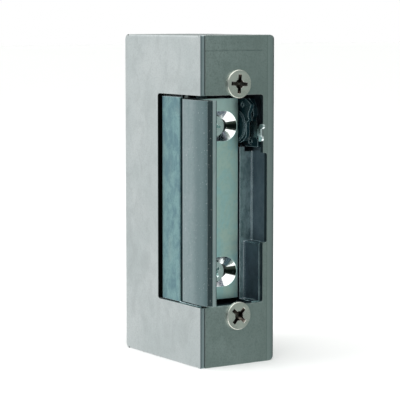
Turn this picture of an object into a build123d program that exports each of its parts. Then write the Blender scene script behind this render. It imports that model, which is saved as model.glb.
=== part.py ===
"""Surface-mounted electric door strike.

The strike sits in a folded sheet housing. A window wraps the housing's front right corner. In it, a keeper
swings about a vertical pin and carries an adjustable L-shaped latch, whose nose holds the door's bolt in the
pocket behind it. The keeper's tail is blocked by a pawl, the pawl by the finger of a hinged armature, and the
armature is pulled up by a coil.

Millimetres. +Z runs up along the housing, +X points out of the narrow side that the door's bolt enters, and
-Y points out of the broad front. The origin is the centre of the back plate's outer face.
"""
from build123d import *

import os

# ---- driving dimensions -------------------------------------------------------------------------------
HOUSING_HEIGHT = 115.0
HOUSING_WIDTH = 50.0
HOUSING_DEPTH = 33.0
SHEET = 1.5
BEND_RADIUS = 5.0           # outside of the two long bends at the back
SEAM = 0.35                 # gap between the front cover and the edges of the folded channel
WINDOW_HEIGHT = 73.3
WINDOW_RAISE = 0.3          # the window's and the fixings' middle lies this far above the housing's
WINDOW_ON_FRONT = 27.8      # how far the window reaches in from the corner, on the broad front
WINDOW_ON_SIDE = 26.0       # the same on the narrow side
NOTCH_HEIGHT = 31.8         # middle stretch where the side window is deeper
NOTCH_RAISE = 0.6
NOTCH_ON_SIDE = 27.7
FIXING_SPACING = 80.9       # between the two fixing screws on the narrow side
FIXING_SETBACK = 15.4       # behind the broad front
FIXING_THREAD = 2.5
FIXING_HEAD = 4.95
FIXING_RIM = 1.0            # thickness of the flat heads, which lie on the sheet
LATCH_HEIGHT = 70.8
NOSE_PROUD = 3.5            # the nose stands out of the narrow side by this much
MOUNT_HOLE_X = 28.0
MOUNT_HOLE_Z = 99.0
MOUNT_HOLE_RADIUS = 2.6
CABLE_HOLE_RADIUS = 4.5

# ---- planes and levels that several pieces share ------------------------------------------------------
SIDE_X = HOUSING_WIDTH / 2
FRONT_Y = -HOUSING_DEPTH
TOP_Z = HOUSING_HEIGHT / 2
NOTCH_TOP_Z = NOTCH_RAISE + NOTCH_HEIGHT / 2
NOTCH_BOTTOM_Z = NOTCH_RAISE - NOTCH_HEIGHT / 2
FIXING_Z = FIXING_SPACING / 2


def inward(distance):
    """X of a point that lies this far in from the narrow side's outer face."""
    return SIDE_X - distance


def behind(distance):
    """Y of a point that lies this far behind the broad front's outer face."""
    return FRONT_Y + distance


def fixing_level(end):
    """Z of the upper (end = 1) or lower (end = -1) fixing screw."""
    return WINDOW_RAISE + end * FIXING_Z


CHEEK_IN_Z = 37.4           # inner faces of the strike body's cheeks
CHEEK_OUT_Z = 39.4
LATCH_Z = LATCH_HEIGHT / 2
BODY_LEFT_X = inward(25.1)
LID_OUT_X = inward(26.6)
POCKET_FLOOR_X = inward(9.0)
CARRIER_FACE_X = inward(12.5)
LATCH_BACK_X = CARRIER_FACE_X + 0.06
NOSE_BACK_Y = behind(4.5)
REAR_WALL_Y = behind(27.7)
BODY_BACK_Y = behind(29.2)

KEEPER_AXIS = (inward(18.5), behind(5.6))       # X, Y
BARREL_RADIUS = 3.0
KEEPER_PIN_RADIUS = 1.5
RUNNING_FIT = 0.05
KEEPER_SPRING_Z = (19.0, 30.0)

PAWL_AXIS = (behind(13.0), -6.0)                # Y, Z
PAWL_X = (1.1, 3.1)
PAWL_PIN_RADIUS = 1.25
TAIL_Z = (-22.0, -18.0)

ARMATURE_AXIS = (behind(26.0), 12.4)            # Y, Z
ARMATURE_X = (1.0, 9.4)
ARMATURE_THICK = 1.6
EAR_END_X = 12.8
FINGER_BOTTOM_Z = 0.8

COIL_AXIS = (6.0, behind(20.8))                 # X, Y
COIL_Z = (16.4, 33.4)
COIL_RADIUS = 4.9
COIL_ROOM_X = COIL_AXIS[0] + COIL_RADIUS + 0.4      # the keeper's wall is thinned to here beside the coil
CORE_RADIUS = 2.4

LEAD_EAR_REACH = 5.6        # how far the bobbin's ear for the leads stands out from the coil's axis
LEAD_SETBACK = 20.8
LEAD_RADIUS = 0.55
LEAD_Z = COIL_Z[1] - 1.1

SLIDER_Y = (behind(24.75), behind(25.6))
CABLE_X = -12.4
CABLE_Z = -12.0


# ---- shape helpers ------------------------------------------------------------------------------------
def block(x_range, y_range, z_range):
    """A box between two values on each axis, given in either order."""
    ranges = (x_range, y_range, z_range)
    sizes = [abs(pair[1] - pair[0]) for pair in ranges]
    middle = [(pair[0] + pair[1]) / 2 for pair in ranges]
    return Pos(*middle) * Box(*sizes)


def rod(radius, start, direction, length):
    """A round bar from start along direction."""
    plane = Plane(origin=start, z_dir=direction)
    return extrude(plane * Circle(radius), length)


def tube(outer, inner, start, direction, length):
    """A round tube from start along direction."""
    return rod(outer, start, direction, length) - rod(inner, start, direction, length)


def cone(big, small, start, direction, length):
    """A round taper from radius big at start to radius small."""
    plane = Plane(origin=start, z_dir=direction)
    return plane * Cone(big, small, length, align=(Align.CENTER, Align.CENTER, Align.MIN))


def slab_xy(outline, z_range):
    """An outline drawn in X and Y, raised between two levels."""
    return extrude(Pos(0, 0, z_range[0]) * outline, z_range[1] - z_range[0])


def slab_yz(outline, x_range):
    """An outline drawn in Y and Z, given a thickness along X."""
    plane = Plane(origin=(x_range[0], 0, 0), x_dir=(0, 1, 0), z_dir=(1, 0, 0))
    return extrude(plane * outline, x_range[1] - x_range[0])


def slab_xz(outline, y_range):
    """An outline drawn in X and Z, given a thickness along Y from the nearer value back."""
    plane = Plane(origin=(0, y_range[1], 0), x_dir=(1, 0, 0), z_dir=(0, -1, 0))
    return extrude(plane * outline, y_range[1] - y_range[0])


def polygon(*points):
    return make_face(Polyline(*points, close=True))


def stadium(length, radius):
    """A slot outline, length between its arc centres."""
    return SlotCenterToCenter(length, 2 * radius)


def cross_recess(radius, depth, start, inward_dir, turn):
    """The cutter of a cross recess: two tapering wings around a tapering middle."""
    plane = Plane(origin=start, z_dir=inward_dir)
    wing = radius * 0.40
    cutter = cone(radius * 0.50, radius * 0.2, start, inward_dir, depth)
    for angle in (turn, turn + 90):
        mouth = Rot(0, 0, angle) * Rectangle(2 * radius, wing)
        floor = Pos(0, 0, depth) * Rot(0, 0, angle) * Rectangle(0.8 * radius, wing * 0.6)
        cutter += loft([plane * mouth, plane * floor])
    return cutter


def countersunk_screw(thread, head, rim, length, centre, outward, turn):
    """A countersunk screw. centre is the middle of the head's top, outward its axis."""
    out = Vector(*outward)
    back = out * -1
    top = Vector(*centre)
    taper = head - thread
    screw = rod(head, top, back, rim)
    screw += cone(head, thread, top + back * rim, back, taper)
    screw += rod(thread, top + back * (rim + taper), back, length - rim - taper - 0.5)
    screw += cone(thread, thread - 0.45, top + back * (length - 0.5), back, 0.5)
    circles = screw.edges().filter_by(GeomType.CIRCLE)
    crown = [edge for edge in circles if (edge.arc_center - top).length < 0.01]
    screw = fillet(crown, rim * 0.6)
    return screw - cross_recess(head * 0.62, head * 0.42, top + out * 0.05, back, turn)


def flat_head_screw(thread, head, rim, length, seat, outward, turn):
    """A flat-head screw with a cross recess. seat is the middle of the underside of its head."""
    out = Vector(*outward)
    back = out * -1
    foot = Vector(*seat)
    top = foot + out * rim
    screw = rod(head, foot, out, rim)
    circles = screw.edges().filter_by(GeomType.CIRCLE)
    crown = [edge for edge in circles if (edge.arc_center - top).length < 0.01]
    screw = fillet(crown, rim * 0.35)
    screw += rod(thread, foot, back, length - 0.5)
    screw += cone(thread, thread - 0.45, foot + back * (length - 0.5), back, 0.5)
    return screw - cross_recess(head * 0.70, head * 0.42, top + out * 0.05, back, turn)


def screw_cutter(hole, head, centre, outward, length):
    """The countersink and clearance hole for such a screw; centre lies on the sheet's outer face."""
    out = Vector(*outward)
    back = out * -1
    top = Vector(*centre)
    cutter = rod(hole, top + out, back, length + 1)
    return cutter + cone(head + 0.5, hole, top + out * 0.5, back, head + 0.5 - hole)


def cheese_screw(thread, head, head_height, length, centre, outward, slot_turn):
    """A slotted cheese-head screw. centre is the middle of the underside of its head."""
    out = Vector(*outward)
    seat = Vector(*centre)
    screw = rod(head, seat, out, head_height)
    screw += rod(thread, seat, out * -1, length)
    plane = Plane(origin=seat + out * head_height, z_dir=outward)
    slot = extrude(plane * Rot(0, 0, slot_turn) * Rectangle(2 * head + 1, head * 0.28), -head_height * 0.5)
    return screw - slot


# ---- housing ------------------------------------------------------------------------------------------
TAB_HALF_WIDTH = 11.0
TAB_DEPTH = 15.0
COVER_SCREW_Y = -9.0
COVER_SCREW_THREAD = 1.5
COVER_SCREW_HEAD = 2.75
COVER_SINK = COVER_SCREW_HEAD + 0.35
CORNER_ROUND = 4.2


def channel_section():
    """The folded sheet seen from above: left side, back plate and narrow side, with bent corners."""
    outer = Rectangle(HOUSING_WIDTH, HOUSING_DEPTH - SHEET - SEAM, align=(Align.CENTER, Align.MAX))
    outer = fillet(outer.vertices().group_by(Axis.Y)[-1], BEND_RADIUS)
    reach = HOUSING_DEPTH - SEAM - 2 * SHEET + 1
    inner = Pos(0, -SHEET) * Rectangle(HOUSING_WIDTH - 2 * SHEET, reach, align=(Align.CENTER, Align.MAX))
    inner = fillet(inner.vertices().group_by(Axis.Y)[-1], BEND_RADIUS - SHEET)
    return outer - inner


def side_window():
    """The cutter of the window in the narrow side: open to the front, deeper in the middle."""
    front = FRONT_Y - 1
    middle = Pos((front + behind(WINDOW_ON_SIDE)) / 2, WINDOW_RAISE)
    outline = middle * Rectangle(WINDOW_ON_SIDE + 1, WINDOW_HEIGHT)
    notch = Pos((front + behind(NOTCH_ON_SIDE)) / 2, NOTCH_RAISE) * Rectangle(NOTCH_ON_SIDE + 1, NOTCH_HEIGHT)
    outline = fillet(outline.vertices().group_by(Axis.X)[-1], 1.0)
    notch = fillet(notch.vertices().group_by(Axis.X)[-1], 0.8)
    return slab_yz(outline + notch, (SIDE_X - 3, SIDE_X + 1))


def end_tab(end):
    """The tab folded forward from the back plate at the top (end = 1) or bottom (end = -1)."""
    outer_z = TOP_Z - SHEET - 0.05
    section = Pos(-TAB_DEPTH / 2, outer_z - 4) * Rectangle(TAB_DEPTH, 8)
    section = fillet(section.vertices().sort_by(Axis.X)[-2:].sort_by(Axis.Y)[-1], 2 * SHEET)
    hollow = Pos(-SHEET - TAB_DEPTH / 2, outer_z - SHEET - 4) * Rectangle(TAB_DEPTH, 8)
    hollow = fillet(hollow.vertices().sort_by(Axis.X)[-2:].sort_by(Axis.Y)[-1], SHEET)
    tab = slab_yz(section - hollow, (-TAB_HALF_WIDTH, TAB_HALF_WIDTH))
    tab -= rod(COVER_SCREW_THREAD + 0.02, (0, COVER_SCREW_Y, TOP_Z), (0, 0, -1), 6)
    tab -= screw_cutter(COVER_SCREW_THREAD + 0.02, COVER_SINK, (0, COVER_SCREW_Y, TOP_Z), (0, 0, 1), 6)
    return tab if end > 0 else mirror(tab, Plane.XY)


def housing_channel():
    sheet = slab_xy(channel_section(), (-TOP_Z, TOP_Z))
    sheet -= side_window()
    for end in (1, -1):
        level = TOP_Z - SHEET - 0.05
        relief_x = TAB_HALF_WIDTH + 0.8
        relief = block((-relief_x, relief_x), (-9, 1), (end * (level - 4), end * (TOP_Z + 1)))
        sheet = sheet - relief + end_tab(end)
        fixing = (SIDE_X + 1, behind(FIXING_SETBACK), fixing_level(end))
        sheet -= rod(FIXING_THREAD + 0.25, fixing, (-1, 0, 0), 4)
        for side in (1, -1):
            round_z = end * (TOP_Z - CORNER_ROUND)
            inner_x = side * (SIDE_X - BEND_RADIUS - 0.5)
            corner = block((inner_x, side * (SIDE_X + 1)), (-CORNER_ROUND, 1), (round_z, end * (TOP_Z + 1)))
            round_off = rod(CORNER_ROUND, (inner_x, -CORNER_ROUND, round_z), (side, 0, 0), 8)
            sheet -= corner - round_off
            hole = (side * MOUNT_HOLE_X / 2, 1, end * MOUNT_HOLE_Z / 2)
            sheet -= rod(MOUNT_HOLE_RADIUS, hole, (0, -1, 0), 4)
    sheet -= rod(CABLE_HOLE_RADIUS + 1.2, (CABLE_X, 1, CABLE_Z), (0, -1, 0), 4)
    return sheet


def cover_flange(end):
    """The flange that closes the top or bottom of the housing."""
    depth = HOUSING_DEPTH - SHEET - 0.3
    section = Pos(FRONT_Y + depth / 2, TOP_Z - 4) * Rectangle(depth, 8)
    section = fillet(section.vertices().sort_by(Axis.X)[:2].sort_by(Axis.Y)[-1], 0.8)
    hollow = Pos(FRONT_Y + SHEET + depth / 2, TOP_Z - SHEET - 4) * Rectangle(depth, 8)
    hollow = fillet(hollow.vertices().sort_by(Axis.X)[:2].sort_by(Axis.Y)[-1], 0.3)
    half_width = SIDE_X - SHEET - 0.3
    flange = slab_yz(section - hollow, (-half_width, half_width))
    back_corners = flange.edges().filter_by(Axis.Z).group_by(Axis.Y)[-1]
    flange = fillet(back_corners, BEND_RADIUS - SHEET)
    flange -= screw_cutter(COVER_SCREW_THREAD + 0.2, COVER_SINK, (0, COVER_SCREW_Y, TOP_Z), (0, 0, 1), 3)
    return flange if end > 0 else mirror(flange, Plane.XY)


def front_cover():
    outline = Rectangle(HOUSING_WIDTH, HOUSING_HEIGHT)
    outline = fillet(outline.vertices().group_by(Axis.X)[0], 2.0)
    outline = fillet(outline.vertices().group_by(Axis.X)[-1], 0.4)
    middle = Pos(inward(WINDOW_ON_FRONT / 2 - 1), WINDOW_RAISE)
    window = middle * Rectangle(WINDOW_ON_FRONT + 2, WINDOW_HEIGHT)
    window = fillet(window.vertices().group_by(Axis.X)[0], 1.0)
    plate = slab_xz(outline - window, (FRONT_Y, FRONT_Y + SHEET))
    flange_x = SIDE_X - SHEET - 0.3
    bend = block((-flange_x, flange_x), (FRONT_Y - 1, behind(SHEET)), (TOP_Z - 6, TOP_Z + 1))
    plate = plate - bend - mirror(bend, Plane.XY)
    return plate + cover_flange(1) + cover_flange(-1)


def cover_screws():
    screws = []
    for end, turn in ((1, 50), (-1, -10)):
        top = (0, COVER_SCREW_Y, end * TOP_Z)
        outward = (0, 0, end)
        screws.append(countersunk_screw(COVER_SCREW_THREAD, COVER_SCREW_HEAD, 0.25, 6.0, top, outward, turn))
    return screws


def fixing_screws():
    screws = []
    for end, turn in ((1, 4), (-1, 42)):
        seat = (SIDE_X, behind(FIXING_SETBACK), fixing_level(end))
        screws.append(flat_head_screw(FIXING_THREAD, FIXING_HEAD, FIXING_RIM, 11.0, seat, (1, 0, 0), turn))
    return screws


def cable_grommet():
    """A rubber ring buttoned into the back plate; the supply cable enters through it."""
    groove = CABLE_HOLE_RADIUS + 1.2
    lip = groove + 1.6
    start = (CABLE_X, 0.0, CABLE_Z)
    ring = rod(groove, start, (0, -1, 0), SHEET)
    ring += rod(lip, (CABLE_X, -SHEET, CABLE_Z), (0, -1, 0), 1.6)
    ring = fillet(ring.edges().filter_by(GeomType.CIRCLE).group_by(Axis.Y)[0], 0.7)
    return ring - rod(CABLE_HOLE_RADIUS - 1.0, (CABLE_X, 1, CABLE_Z), (0, -1, 0), 6)


# ---- strike body --------------------------------------------------------------------------------------
LID_POSTS = ((behind(12.6), 33.2), (behind(12.6), -33.2), (behind(25.2), -30.0), (behind(25.2), 1.5))  # Y, Z
LID_POST_LENGTH = 6.5
STRIP_EDGE_X = inward(14.85)
STRIP_Y = (behind(1.0), behind(2.3))
STRIP_Z = 35.95
LUG_BACK = 8.0
CAST_FILLET = 0.5
SPRING_LEDGE_X = 11.4
SPRING_LEDGE_Z = 5.0
YOKE_SCREW_Z = 24.0
YOKE_SCREW_RADIUS = 1.52


def lug(end):
    """The lug behind the narrow side that a fixing screw is driven into."""
    z_range = (end * (CHEEK_OUT_Z - 1), end * (FIXING_Z + 5.2))
    y_middle = behind(FIXING_SETBACK)
    ear = block((SIDE_X - SHEET - LUG_BACK, SIDE_X - SHEET), (y_middle - 5.5, y_middle + 5.5), z_range)
    tip = [edge for edge in ear.edges().filter_by(Axis.X) if abs(edge.center().Z) > FIXING_Z + 5]
    return fillet(tip, 2.5)


def lower_block():
    """The thick lower part of the rear wall, its face leaning back towards the narrow side."""
    outline = polygon(
        (POCKET_FLOOR_X - 2, behind(24.0)),
        (POCKET_FLOOR_X, behind(24.0)),
        (POCKET_FLOOR_X + CAST_FILLET, behind(24.45)),
        (SIDE_X - SHEET, behind(25.35)),
        (SIDE_X - SHEET, REAR_WALL_Y + 0.5),
        (POCKET_FLOOR_X - 2, REAR_WALL_Y + 0.5),
    )
    piece = slab_xy(outline, (-CHEEK_IN_Z - 0.5, NOTCH_BOTTOM_Z))
    top = [edge for edge in piece.edges().group_by(Axis.Z)[-1] if edge.center().Y < behind(26)]
    top = [edge for edge in top if edge.center().X > POCKET_FLOOR_X]
    return chamfer(top, 0.35)


def pocket_floor():
    """The strip of floor behind the latch plate, stepped at its top, and the ledge at its bottom."""
    floor_x = (POCKET_FLOOR_X - 2, POCKET_FLOOR_X)
    strip = block(floor_x, (behind(22.35), REAR_WALL_Y + 0.5), (-CHEEK_IN_Z - 0.5, NOTCH_TOP_Z))
    strip += block(floor_x, (behind(22.35), behind(24.4)), (NOTCH_TOP_Z - 0.5, NOTCH_TOP_Z + 1.6))
    inner_corner = polygon(
        (POCKET_FLOOR_X - 0.1, REAR_WALL_Y - CAST_FILLET),
        (POCKET_FLOOR_X, REAR_WALL_Y - CAST_FILLET),
        (POCKET_FLOOR_X + CAST_FILLET, REAR_WALL_Y),
        (POCKET_FLOOR_X + CAST_FILLET, REAR_WALL_Y + 0.1),
        (POCKET_FLOOR_X - 0.1, REAR_WALL_Y + 0.1),
    )
    strip += slab_xy(inner_corner, (-CHEEK_IN_Z, NOTCH_TOP_Z))
    ledge_x = (POCKET_FLOOR_X - 2, SIDE_X - SHEET)
    return strip + block(ledge_x, (behind(22.35), REAR_WALL_Y + 0.5), (-CHEEK_IN_Z - 0.5, -35.9))


def body_shell():
    """The body's rear wall, cheeks and front strip: a box open to both sides and to the front."""
    shell = block((BODY_LEFT_X, SIDE_X - SHEET), (behind(1.9), BODY_BACK_Y), (-CHEEK_OUT_Z, CHEEK_OUT_Z))
    shell += block((LID_OUT_X, STRIP_EDGE_X), STRIP_Y, (-STRIP_Z, STRIP_Z))
    levels = (-CHEEK_IN_Z, CHEEK_IN_Z)
    shell -= block((BODY_LEFT_X - 3, SIDE_X + 1), (behind(2.3), REAR_WALL_Y), levels)
    shell -= block((STRIP_EDGE_X, SIDE_X + 1), (behind(0), behind(3)), levels)
    sill_x = (STRIP_EDGE_X - 0.1, SIDE_X - SHEET)
    shell += block(sill_x, STRIP_Y, (-STRIP_Z - 0.3, -STRIP_Z + 0.05))
    return shell + block(sill_x, (behind(1.9), behind(3)), (-CHEEK_IN_Z - 0.5, -STRIP_Z + 0.05))


def lid_post(y, z):
    """A tapped post for a lid screw, with a foot on the rear wall or on the nearer cheek."""
    x_range = (BODY_LEFT_X, BODY_LEFT_X + LID_POST_LENGTH)
    post = rod(2.2, (BODY_LEFT_X, y, z), (1, 0, 0), LID_POST_LENGTH)
    if y > behind(20):
        post += block(x_range, (y - 1.8, REAR_WALL_Y + 0.5), (z - 1.8, z + 1.8))
    else:
        cheek_z = CHEEK_IN_Z + 0.5 if z > 0 else -CHEEK_IN_Z - 0.5
        post += block(x_range, (y - 2.2, y + 2.2), (z, cheek_z))
    return post - rod(1.02, (BODY_LEFT_X - 1, y, z), (1, 0, 0), LID_POST_LENGTH)


def strike_body():
    body = body_shell() + pocket_floor() + lower_block()
    for end in (1, -1):
        body += lug(end)
        fixing = (SIDE_X, behind(FIXING_SETBACK), fixing_level(end))
        body -= rod(FIXING_THREAD + 0.02, fixing, (-1, 0, 0), 20)
    ledge_x = (SPRING_LEDGE_X - 1.4, SPRING_LEDGE_X + 1.4)
    body += block(ledge_x, (behind(25.7), REAR_WALL_Y + 0.5), (SPRING_LEDGE_Z - 1.4, SPRING_LEDGE_Z))
    for y, z in LID_POSTS:
        body += lid_post(y, z)
    body -= rod(KEEPER_PIN_RADIUS, (*KEEPER_AXIS, -50), (0, 0, 1), 100)
    body -= rod(YOKE_SCREW_RADIUS, (COIL_AXIS[0], behind(30), YOKE_SCREW_Z), (0, -1, 0), 6)
    corner_x = SIDE_X - SHEET
    corner = polygon((corner_x - 1.3, BODY_BACK_Y), (corner_x, BODY_BACK_Y), (corner_x, BODY_BACK_Y - 1.3))
    body -= slab_xy(corner, (-CHEEK_OUT_Z - 1, CHEEK_OUT_Z + 1))
    upright = body.edges().filter_by(Axis.Z)
    front_edges = [edge for edge in upright if abs(edge.center().Y - STRIP_Y[0]) < 0.01]
    return fillet([edge for edge in front_edges if edge.length > STRIP_Z], 0.35)


def strike_lid():
    """The steel side plate, with holes for its screws, the pawl's pin and the coil's leads."""
    plate = block((LID_OUT_X, BODY_LEFT_X), (behind(2.35), BODY_BACK_Y), (-CHEEK_OUT_Z, CHEEK_OUT_Z))
    plate = fillet(plate.edges().filter_by(Axis.X), 1.0)
    for y, z in LID_POSTS:
        plate -= rod(1.2, (LID_OUT_X - 1, y, z), (1, 0, 0), 4)
    plate -= rod(PAWL_PIN_RADIUS, (LID_OUT_X - 1, *PAWL_AXIS), (1, 0, 0), 4)
    slot_y = (COIL_AXIS[1] - 1.8, COIL_AXIS[1] + 1.8)
    plate -= block((LID_OUT_X - 1, BODY_LEFT_X + 1), slot_y, (LEAD_Z - 0.9, LEAD_Z + 0.9))
    return plate


def lid_screws():
    return [
        cheese_screw(1.0, 1.9, 1.2, LID_POST_LENGTH, (LID_OUT_X, y, z), (-1, 0, 0), 35 * index)
        for index, (y, z) in enumerate(LID_POSTS)
    ]


# ---- keeper and latch ---------------------------------------------------------------------------------
LATCH_SCREW_Z = 25.7
LATCH_SCREW_Y = behind(12.6)
LATCH_SCREW_SUNK = 0.9
SLOT_TRAVEL = 3.1
SLOT_RADIUS = 2.3
SLOT_FLARE = 5.3
SLOT_FLARE_DEPTH = 2.35


def keeper_tail():
    """The short tail beside the barrel that the pawl stands behind."""
    axis_x, axis_y = KEEPER_AXIS
    outline = polygon(
        (axis_x, axis_y - 1.5),
        (axis_x - 5.2, axis_y + 0.6),
        (axis_x - 5.2, behind(10.5)),
        (axis_x - 3.4, behind(10.5)),
        (axis_x - 1.0, axis_y + 2.6),
        (axis_x, axis_y + 1.5),
    )
    return slab_xy(outline, TAIL_Z)


def keeper():
    """The swinging carrier: a barrel on the pin, a web, and the tapped wall behind the latch plate."""
    axis_x, axis_y = KEEPER_AXIS
    levels = (-LATCH_Z, LATCH_Z)
    barrel = rod(BARREL_RADIUS, (axis_x, axis_y, -LATCH_Z), (0, 0, 1), LATCH_HEIGHT)
    web_and_wall = polygon(
        (axis_x + 1.5, axis_y - 2.4),
        (axis_x + 4.5, axis_y + 1.9),
        (CARRIER_FACE_X, axis_y + 2.2),
        (CARRIER_FACE_X, behind(20.5)),
        (inward(15.0), behind(20.5)),
        (inward(15.0), axis_y + 3.6),
        (axis_x, axis_y + 2.9),
    )
    wall = slab_xy(web_and_wall, levels)
    coil_room = block((inward(16), COIL_ROOM_X), (behind(15.5), behind(21)), (9.5, LATCH_Z + 1))
    carrier = barrel + wall - coil_room + keeper_tail()
    spring_room = block((axis_x - 4, CARRIER_FACE_X - 2.4), (axis_y - 4, axis_y + 4), KEEPER_SPRING_Z)
    carrier -= spring_room
    carrier -= rod(KEEPER_PIN_RADIUS + RUNNING_FIT, (axis_x, axis_y, -50), (0, 0, 1), 100)
    for end in (1, -1):
        carrier -= rod(2.02, (SIDE_X, LATCH_SCREW_Y, end * LATCH_SCREW_Z), (-1, 0, 0), 30)
    return carrier


def keeper_pin():
    return rod(KEEPER_PIN_RADIUS, (*KEEPER_AXIS, -CHEEK_OUT_Z + 0.1), (0, 0, 1), 2 * CHEEK_OUT_Z - 0.2)


def keeper_spring():
    """The torsion spring around the pin, as the tube that its turns fill."""
    low, high = KEEPER_SPRING_Z
    start = (*KEEPER_AXIS, low + 0.4)
    return tube(2.75, KEEPER_PIN_RADIUS + 0.3, start, (0, 0, 1), high - low - 0.8)


def nose_outline():
    """The latch seen from above: a gently crowned nose, a chamfered tip and the plate behind."""
    left = inward(13.4)
    corner = (inward(0.6), behind(0.3))
    tip_top = (SIDE_X + 2.9, behind(0.9))
    tip_end = (SIDE_X + NOSE_PROUD, behind(2.6))
    tip_back = (SIDE_X + NOSE_PROUD, behind(3.9))
    front_left = (left, behind(1.25))
    crown_left = (left + 0.5, behind(0.85))
    crown = ThreePointArc(crown_left, (inward(7.0), behind(0.35)), corner)
    shoulder = ThreePointArc(corner, (SIDE_X + 1.3, behind(0.48)), tip_top)
    rest = Polyline(
        tip_top,
        tip_end,
        tip_back,
        (SIDE_X + NOSE_PROUD - 0.4, NOSE_BACK_Y),
        (POCKET_FLOOR_X + 1.2, NOSE_BACK_Y),
        (POCKET_FLOOR_X, behind(5.4)),
        (POCKET_FLOOR_X, behind(21.5)),
        (POCKET_FLOOR_X - 0.3, behind(21.8)),
        (LATCH_BACK_X, behind(21.8)),
        (LATCH_BACK_X, behind(3.0)),
        (left, behind(2.6)),
        front_left,
        crown_left,
    )
    return make_face(Wire([crown, shoulder, *rest.edges()]))


def latch():
    """The adjustable L-shaped latch, with two flared slots along the adjusting direction."""
    piece = slab_xy(nose_outline(), (-LATCH_Z, LATCH_Z))
    for end in (1, -1):
        middle_y = LATCH_SCREW_Y + SLOT_TRAVEL / 2
        level = end * LATCH_SCREW_Z
        face = Plane(origin=(POCKET_FLOOR_X, middle_y, level), x_dir=(0, 1, 0), z_dir=(-1, 0, 0))
        mouth = face * stadium(SLOT_TRAVEL, SLOT_FLARE)
        floor = face * Pos(0, 0, SLOT_FLARE_DEPTH) * stadium(SLOT_TRAVEL, SLOT_RADIUS)
        piece -= loft([mouth, floor])
        piece -= extrude(face * stadium(SLOT_TRAVEL, SLOT_RADIUS), 6)
    return piece


def latch_screws():
    screws = []
    for end, turn in ((1, 10), (-1, 55)):
        top = (POCKET_FLOOR_X - LATCH_SCREW_SUNK, LATCH_SCREW_Y, end * LATCH_SCREW_Z)
        screws.append(countersunk_screw(2.0, 3.6, 0.1, 7.8, top, (1, 0, 0), turn))
    return screws


# ---- pawl, armature and coil --------------------------------------------------------------------------
def pawl():
    """A two-armed lever: the long arm stands behind the keeper's tail, the short one behind the finger."""
    pivot_z = PAWL_AXIS[1]
    outline = polygon(
        (behind(11.0), pivot_z + 8.0),
        (behind(13.6), pivot_z + 8.0),
        (behind(15.2), pivot_z + 2.0),
        (behind(15.2), pivot_z - 4.0),
        (behind(13.4), TAIL_Z[0] - 0.5),
        (behind(10.9), TAIL_Z[0] - 0.5),
        (behind(10.9), pivot_z - 5.0),
    )
    outline = fillet(outline.vertices(), 0.5)
    lever = slab_yz(outline, PAWL_X)
    return lever - rod(PAWL_PIN_RADIUS + RUNNING_FIT, (0, *PAWL_AXIS), (1, 0, 0), 10)


def pawl_pin():
    """The headed pin riveted into the side plate."""
    pin = rod(PAWL_PIN_RADIUS, (LID_OUT_X, *PAWL_AXIS), (1, 0, 0), 7.4)
    pin += tube(2.0, PAWL_PIN_RADIUS, (BODY_LEFT_X, *PAWL_AXIS), (1, 0, 0), PAWL_X[0] - BODY_LEFT_X - 0.2)
    return pin + rod(2.1, (LID_OUT_X + 7.4, *PAWL_AXIS), (1, 0, 0), 0.7)


def pawl_spring():
    start = (PAWL_X[1] + 0.3, *PAWL_AXIS)
    return tube(2.2, PAWL_PIN_RADIUS + 0.25, start, (1, 0, 0), 1.9)


def armature():
    """A plate under the coil's core, with a finger that hangs down in front of the pawl."""
    pivot_y, pivot_z = ARMATURE_AXIS
    top = pivot_z + ARMATURE_THICK / 2
    bottom = pivot_z - ARMATURE_THICK / 2
    outline = polygon(
        (behind(9.2), top),
        (behind(27.3), top),
        (behind(27.3), bottom),
        (behind(10.7), bottom),
        (behind(10.7), FINGER_BOTTOM_Z),
        (behind(9.2), FINGER_BOTTOM_Z),
    )
    outline = fillet(outline.vertices().sort_by(Axis.X)[0:2], 0.5)
    piece = slab_yz(outline, ARMATURE_X)
    beside = (PAWL_X[1] + 0.3, ARMATURE_X[1] + 1)
    piece -= block(beside, (behind(9), behind(10.8)), (FINGER_BOTTOM_Z - 1, bottom - 0.4))
    ear = block((ARMATURE_X[1] - 1, EAR_END_X), (pivot_y + 0.2, pivot_y + 1.3), (bottom, top))
    return piece + ear


def armature_spring():
    """The small spring that stands on the body's ledge and lifts the armature's ear."""
    top = ARMATURE_AXIS[1] - ARMATURE_THICK / 2 - 0.3
    return tube(0.9, 0.55, (SPRING_LEDGE_X, behind(26.75), SPRING_LEDGE_Z), (0, 0, 1), top - SPRING_LEDGE_Z)


def coil_core():
    low, high = COIL_Z
    stem = rod(CORE_RADIUS, (*COIL_AXIS, low - 0.5), (0, 0, 1), high + 2.1 - low + 0.5)
    return fillet(stem.edges().group_by(Axis.Z)[0], 0.3)


def coil_bobbin():
    low, high = COIL_Z
    flange = 1.0
    spool = rod(CORE_RADIUS + 1.0, (*COIL_AXIS, low), (0, 0, 1), high - low)
    for level in (low, high - flange):
        spool += rod(COIL_RADIUS, (*COIL_AXIS, level), (0, 0, 1), flange)
    ear_x = (COIL_AXIS[0] - LEAD_EAR_REACH, COIL_AXIS[0] - 3.2)
    spool += block(ear_x, (COIL_AXIS[1] - 1.8, COIL_AXIS[1] + 1.8), (LEAD_Z - 1.1, high))
    return spool - rod(CORE_RADIUS + 0.02, (*COIL_AXIS, low - 1), (0, 0, 1), high - low + 2)


def coil_winding():
    low, high = COIL_Z
    start = (*COIL_AXIS, low + 1.0)
    return tube(COIL_RADIUS - 0.35, CORE_RADIUS + 1.0, start, (0, 0, 1), high - low - 3.2)


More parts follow.
